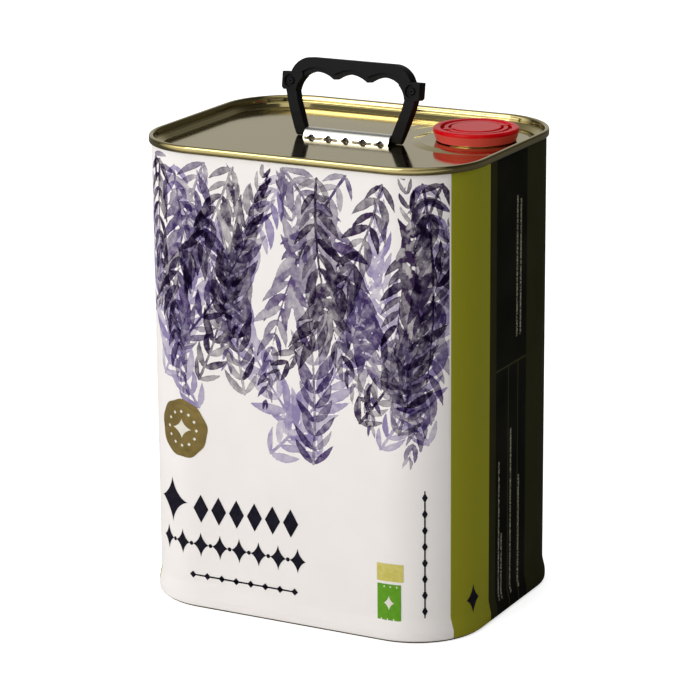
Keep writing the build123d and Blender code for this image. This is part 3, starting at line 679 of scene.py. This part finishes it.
def frond(chance, root, bearing, length, sway, reach):
    """Strokes of one fern frond: a bent stem, and pairs of leaflets that shorten to its tip.

    The stem's bearing swings by the sway over its length. A leaflet's length is the reach times the 0.7th power of
    the sine of pi times a value that goes from 0.2 at the root to 0.96 at the tip, and chance varies its length,
    bearing, width and curl.
    """
    pairs = int(length / LEAFLET_PITCH)
    share = (np.arange(pairs) + 0.5) / pairs
    heading = bearing + sway * (share - 0.5)
    steps = np.stack([np.cos(heading), np.sin(heading)], axis=-1) * length / pairs
    spine = np.array(root) + np.cumsum(steps, axis=0)
    strokes = [(spine, STEM_HALF * (STEM_TAPER - share))]
    size = reach * np.sin(np.pi * (0.2 + 0.76 * share)) ** 0.7
    for place, angle, span, part in zip(spine, heading, size, share):
        for side in (-1, 1):
            open_angle = math.radians(LEAFLET_OPENING - LEAFLET_CLOSING * part)
            turn = side * (open_angle + chance.uniform(-LEAFLET_WAVER, LEAFLET_WAVER))
            long = span * chance.uniform(*LEAFLET_LENGTHS)
            wide = long * chance.uniform(*LEAFLET_WIDTHS)
            strokes.append(stroke(place, angle + turn, long, wide, -side * chance.uniform(*LEAFLET_CURLS)))
    return strokes


def glaze(strokes, chance, along, level):
    """Distance to the nearest stroke's edge in millimetres, and that stroke's tone, on a grid of wall places."""
    edge = np.ones(along.shape)
    tone = np.full(along.shape, UNPAINTED_TONE)
    for spine, half in strokes:
        shade = chance.uniform(*STROKE_TONES)
        margin = half.max() + GLAZE_MARGIN
        low, high = spine.min(axis=0) - margin, spine.max(axis=0) + margin
        columns = np.flatnonzero((along[0] > low[0]) & (along[0] < high[0]))
        rows = np.flatnonzero((level[:, 0] > low[1]) & (level[:, 0] < high[1]))
        if not len(rows) or not len(columns):
            continue
        box = (slice(rows[0], rows[-1] + 1), slice(columns[0], columns[-1] + 1))
        spots = np.stack([along[box], level[box]], axis=-1)[..., None, :]
        span = np.diff(spine, axis=0)
        share = np.clip(((spots - spine[:-1]) * span).sum(axis=-1) / (span ** 2).sum(axis=-1), 0, 1)
        away = np.linalg.norm(spots - spine[:-1] - share[..., None] * span, axis=-1)
        away = (away - half[:-1] - share * np.diff(half)).min(axis=-1) * 1000
        nearer = away < edge[box]
        edge[box] = np.where(nearer, away, edge[box])
        tone[box] = np.where(nearer, shade, tone[box])
    return np.maximum(edge, -1), tone


def fern_print(name, turned, finish):
    """Sheet over the upper two thirds of a long face and its corners, with the strokes of the ferns on its points.

    The sheet of the back is the same one turned half round, and open over the bare strip of the side seam.
    """
    along, level = np.meshgrid(np.arange(-PRINT_HALF, PRINT_HALF + PRINT_STEP / 2, PRINT_STEP),
                               np.arange(PRINT_LOW, PRINT_HIGH + PRINT_STEP / 2, PRINT_STEP))
    values = {}
    for number, fronds in enumerate(FRONDS):
        chance = np.random.default_rng(FERN_SEED + number)
        strokes = []
        for root_along, root_height, bearing, length, sway, reach in fronds:
            root = (root_along / 1000, root_height / 1000)
            leaflet = reach * LEAFLET_GROWTH / 1000
            strokes += frond(chance, root, math.radians(bearing), length / 1000, sway, leaflet)
        values[f"edge_{number}"], values[f"tone_{number}"] = glaze(strokes, chance, along, level)
    points = wall_points(along, level, PRINT_LIFT)
    faces = grid_faces(*along.shape)
    if turned:
        points = points * np.array([-1.0, -1.0, 1.0])
        faces = faces[np.abs(along.ravel()[faces].mean(axis=1)) > BARE_STRIP / 2]
    new_piece(name, points, faces, finish, values)


def patch_print(name, corners, finish):
    """Flat printed patch between two (along, height) corners, as a grid laid on the wall."""
    (left, foot), (right, top) = corners
    along, level = np.meshgrid(np.linspace(left, right, PATCH_COLUMNS), np.linspace(foot, top, PATCH_ROWS))
    points = wall_points(along, level, 2 * PRINT_LIFT)
    new_piece(name, points, grid_faces(*along.shape), finish, {"tint": np.full(along.shape, ORNAMENT_TINT)})


def ornament_print(name, shapes, finish, lift):
    """Lozenges and rules: each shape is a fan of points about its middle, from (along, height, half widths, power).

    A point at angle t lies at the half widths times |cos t| and |sin t| to the shape's power, with their signs. A
    power of two gives a straight lozenge, three a star with hollow sides, and a fifth a near rectangle.
    """
    turn = np.linspace(0, 2 * np.pi, FAN_POINTS)
    shares = FAN_SHARES[:, None]
    points, faces = [], []
    for along, level, half_along, half_level, power in shapes:
        x = np.sign(np.cos(turn)) * np.abs(np.cos(turn)) ** power * half_along
        z = np.sign(np.sin(turn)) * np.abs(np.sin(turn)) ** power * half_level
        faces.append(fan_faces(shares, turn) + sum(map(len, points)))
        points.append(wall_points((along + shares * x) / 1000, (level + shares * z) / 1000, lift).reshape(-1, 3))
    points = np.concatenate(points)
    new_piece(name, points, np.concatenate(faces), finish, {"tint": np.full(len(points), ORNAMENT_TINT)})


def seal_print(finish):
    """Round seal with a wavy edge: rings of points about its middle, raised between two grooves near its edge.

    Its radius varies with the angle t by 1.8 % of sin 9t and 1.2 % of sin (5t + 1).
    """
    turn = np.linspace(0, 2 * np.pi, SEAL_POINTS)
    radius = SEAL_RADIUS * (1 + 0.018 * np.sin(9 * turn) + 0.012 * np.sin(5 * turn + 1)) * SEAL_RINGS[:, None]
    along = SEAL_ALONG / 1000 + radius * np.cos(turn)
    level = SEAL_HEIGHT / 1000 + radius * np.sin(turn)
    points = wall_points(along, level, (SEAL_RISES * RISE_STEP + 2 * PRINT_LIFT)[:, None])
    new_piece("seal_print", points, fan_faces(SEAL_RINGS, turn), finish)


def floor_finish():
    """Pale paint that also glows for the camera and in reflections, so that it is white but keeps the tin's shadow.

    In mirrors it is bright in front of the tin only.
    """
    finish = Finish("studio_floor")
    rays = finish.node("ShaderNodeLightPath").outputs
    loss = finish.spread(finish.axes()["Y"], FLOOR_LOSS_FROM, FLOOR_LOSS_TO, 0.0, FLOOR_LOSS)
    kept = finish.less(1.0, finish.product(loss, rays["Is Glossy Ray"]))
    glow = 0.0
    for name, level in FLOOR_GLOWS:
        glow = finish.math("MULTIPLY_ADD", rays[name], level, glow)
    finish.set(Base_Color=finish.product(kept, FLOOR_PALE), Roughness=FLOOR_ROUGH)
    finish.set(Emission_Color=WHITE, Emission_Strength=finish.product(glow, kept))
    return finish


def studio():
    """The floor, and the world round it."""
    mesh = bpy.data.meshes.new("studio_floor")
    edge = FLOOR_HALF
    mesh.from_pydata([(-edge, -edge, 0), (edge, -edge, 0), (edge, edge, 0), (-edge, edge, 0)], [], [(0, 1, 2, 3)])
    floor = link("studio_floor", mesh)
    mesh.materials.append(floor_finish().material)
    surround()


def surround():
    """World: white to the camera; else lighter to the left, and darker to the right and high up.

    Mirrors see it darker at the right and the far left, and bright in front. Dull paint gets more light from behind.
    """
    world = bpy.data.worlds.new("studio")
    bpy.context.scene.world = world
    world.use_nodes = True
    graph = Graph(world.node_tree, "Generated")
    rays = graph.node("ShaderNodeLightPath").outputs
    mirror = rays["Is Glossy Ray"]
    axes = graph.axes()
    x, y, z = axes["X"], axes["Y"], axes["Z"]
    mirrored = graph.spread(x, *ROOM_X, ROOM_MIRRORED_LEFT - ROOM_LEFT, ROOM_MIRRORED_RIGHT - ROOM_RIGHT)
    lit = graph.total(graph.spread(x, *ROOM_X, ROOM_LEFT, ROOM_RIGHT), graph.product(mirrored, mirror))
    right_loss = graph.spread(x, *ROOM_RIGHT_LOSS_X, 0.0, ROOM_LOSS)
    left_loss = graph.spread(x, *ROOM_LEFT_LOSS_X, ROOM_LOSS, 0.0)
    kept = graph.less(1.0, graph.product(graph.total(right_loss, left_loss), mirror))
    overhead = graph.spread(z, *ROOM_OVERHEAD_Z, 1.0, ROOM_OVERHEAD)
    behind = graph.product(graph.spread(y, 0.0, 1.0, 0.0, ROOM_BEHIND), rays["Is Diffuse Ray"])
    front = graph.product(graph.spread(y, *ROOM_FRONT_Y, 0.0, ROOM_FRONT), mirror)
    across = graph.spread(x, *ROOM_FRONT_X, 1.0, ROOM_FRONT_RIGHT)
    room = graph.total(graph.product(lit, kept, overhead), behind, graph.product(front, across))
    seen = graph.math("MAXIMUM", rays["Is Camera Ray"], rays["Is Transmission Ray"])
    graph.feed(graph.nodes["Background"].inputs["Color"], graph.blend(seen, room, WHITE))


def aim(holder, place, right, up, back):
    """Put an object at a place, with its own axes along three directions."""
    rows = [[right[i], up[i], back[i], place[i]] for i in range(3)]
    holder.matrix_world = Matrix(rows + [[0, 0, 0, 1]])


def lamp(name, place, width, height, power):
    """Soft rectangular lamp that faces the tin."""
    light = bpy.data.lights.new(name, "AREA")
    light.shape = "RECTANGLE"
    light.size = width
    light.size_y = height
    light.energy = power
    back = np.array(place) - np.array(LAMP_TARGET)
    back /= np.linalg.norm(back)
    right = np.cross((0.0, 0.0, 1.0), back)
    right /= np.linalg.norm(right)
    aim(link(name, light), place, right, np.cross(back, right), back)


def camera():
    """Camera where the photograph was taken from, by its bearing, height angle, distance and roll."""
    bearing, height, roll = (math.radians(angle) for angle in CAMERA_ANGLES)
    back = np.array([math.sin(bearing) * math.cos(height), -math.cos(bearing) * math.cos(height), math.sin(height)])
    level = np.array([math.cos(bearing), math.sin(bearing), 0.0])
    rise = np.cross(back, level)
    right = level * math.cos(roll) + rise * math.sin(roll)
    up = rise * math.cos(roll) - level * math.sin(roll)
    place = level * CAMERA_ASIDE + np.array([0.0, 0.0, CAMERA_TARGET_Z]) + back * CAMERA_DISTANCE
    lens = bpy.data.cameras.new("camera")
    lens.sensor_width = SENSOR
    lens.lens = LENS
    lens.clip_start = CAMERA_NEAREST
    holder = link("camera", lens)
    aim(holder, place, right, up, back)
    bpy.context.scene.camera = holder


natural = plain_finish("natural_polythene", srgb(226, 224, 214), srgb(236, 234, 226), 0.35)
rubber = plain_finish("seam_compound", srgb(120, 116, 108), srgb(132, 128, 120), 0.6)
give(black_plastic(), "handle_bail", "handle_grip", "grip_pin_left", "grip_pin_right")
give(red_plastic(), "spout_base", "spout_cap", "pull_bail_front", "pull_bail_rear")
give(lacquered_tinplate(), "top_end", "bottom_end")
give(bright_steel(), "handle_strap")
give(natural, "pouring_spout", "cap_liner")
give(rubber, "top_seam_compound", "bottom_seam_compound")
give(printed_tinplate(), "body_shell")

wash = wash_finish()
black_ink = ink_finish("black_ink", srgb(26, 24, 32), srgb(48, 44, 58))
green_ink = ink_finish("green_ink", srgb(92, 150, 38), srgb(118, 168, 58))
pale_ink = ink_finish("pale_ink", srgb(196, 184, 92), srgb(228, 220, 150))
white_ink = ink_finish("white_ink", srgb(226, 222, 208), srgb(206, 200, 180))
fern_print("fern_print_front", False, wash)
fern_print("fern_print_back", True, wash)
ornament_print("ornament_print", ORNAMENT, black_ink, ORNAMENT_LIFT)
seal_print(foil_finish())
patch_print("green_mark_print", GREEN_PATCH, green_ink)
patch_print("pale_mark_print", PALE_PATCH, pale_ink)
ornament_print("seal_emblem_print", SEAL_EMBLEM, white_ink, SEAL_EMBLEM_LIFT)
ornament_print("mark_emblem_print", MARK_EMBLEM, white_ink, MARK_EMBLEM_LIFT)

studio()
for lamp_data in LAMPS:
    lamp(*lamp_data)
camera()
bpy.context.scene.view_settings.view_transform = "Standard"
